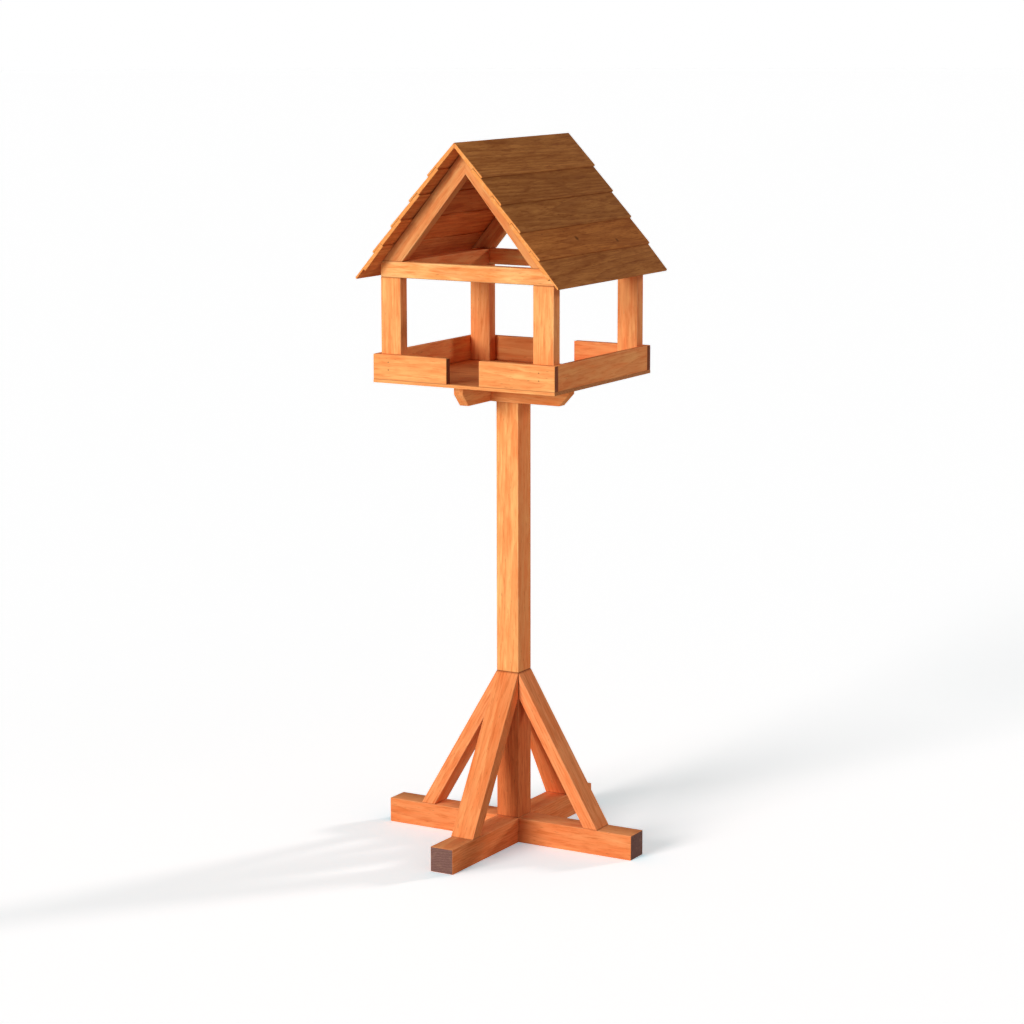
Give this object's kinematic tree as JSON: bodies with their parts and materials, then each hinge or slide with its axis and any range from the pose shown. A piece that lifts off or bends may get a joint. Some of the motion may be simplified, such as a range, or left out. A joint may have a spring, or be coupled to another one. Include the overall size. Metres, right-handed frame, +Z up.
{
  "type": "bird table",
  "caption": "Free-standing wooden garden bird table: open tray under a gabled roof of lapped boards, on a square post with diagonal braces over crossed feet.",
  "frame": {"origin": "on the ground, under the axis of the post, in the middle of the crossed feet", "axes": "+Z up along the post; the front gable faces -Y and the ridge runs along Y; +X to the right seen from the front"},
  "size_m": [0.56, 0.56, 1.4057],
  "materials": {
    "stained_base": "planed softwood, red-brown stain",
    "stained_frame": "planed softwood, orange-brown stain",
    "stained_roof": "planed softwood, brown stain",
    "plated_screw": "yellow zinc plate"
  },
  "bodies": {
    "root": {"foot_left_right": "stained_base", "foot_front_back": "stained_base", "base_post": "stained_base", "brace_right": "stained_base", "brace_back": "stained_base", "brace_left": "stained_base", "brace_front": "stained_base", "main_post": "stained_frame", "bracket_front": "stained_frame", "bracket_right": "stained_frame", "bracket_back": "stained_frame", "bracket_left": "stained_frame", "tray_floor": "stained_frame", "tray_side_left": "stained_frame", "tray_side_right": "stained_frame", "tray_end_front_left": "stained_frame", "tray_end_front_right": "stained_frame", "tray_end_back_left": "stained_frame", "tray_end_back_right": "stained_frame", "corner_post_front_left": "stained_frame", "corner_post_front_right": "stained_frame", "corner_post_back_left": "stained_frame", "corner_post_back_right": "stained_frame", "rafter_front_left": "stained_frame", "rafter_front_right": "stained_frame", "rafter_back_left": "stained_frame", "rafter_back_right": "stained_frame", "tie_beam_front": "stained_frame", "tie_beam_back": "stained_frame", "side_plate_left": "stained_frame", "side_plate_right": "stained_frame", "roof_board_right_1": "stained_roof", "roof_board_right_2": "stained_roof", "roof_board_right_3": "stained_roof", "roof_board_right_4": "stained_roof", "roof_board_right_5": "stained_roof", "roof_board_left_1": "stained_roof", "roof_board_left_2": "stained_roof", "roof_board_left_3": "stained_roof", "roof_board_left_4": "stained_roof", "roof_board_left_5": "stained_roof", "post_screw": "plated_screw", "post_joining_screw": "plated_screw", "brace_screw_right": "plated_screw", "brace_screw_back": "plated_screw", "brace_screw_left": "plated_screw", "brace_screw_front": "plated_screw", "floor_screw_front": "plated_screw", "floor_screw_right": "plated_screw", "floor_screw_back": "plated_screw", "floor_screw_left": "plated_screw", "corner_screw_front_left": "plated_screw", "corner_screw_front_right": "plated_screw", "corner_screw_back_left": "plated_screw", "corner_screw_back_right": "plated_screw"}
  },
  "joints": []
}
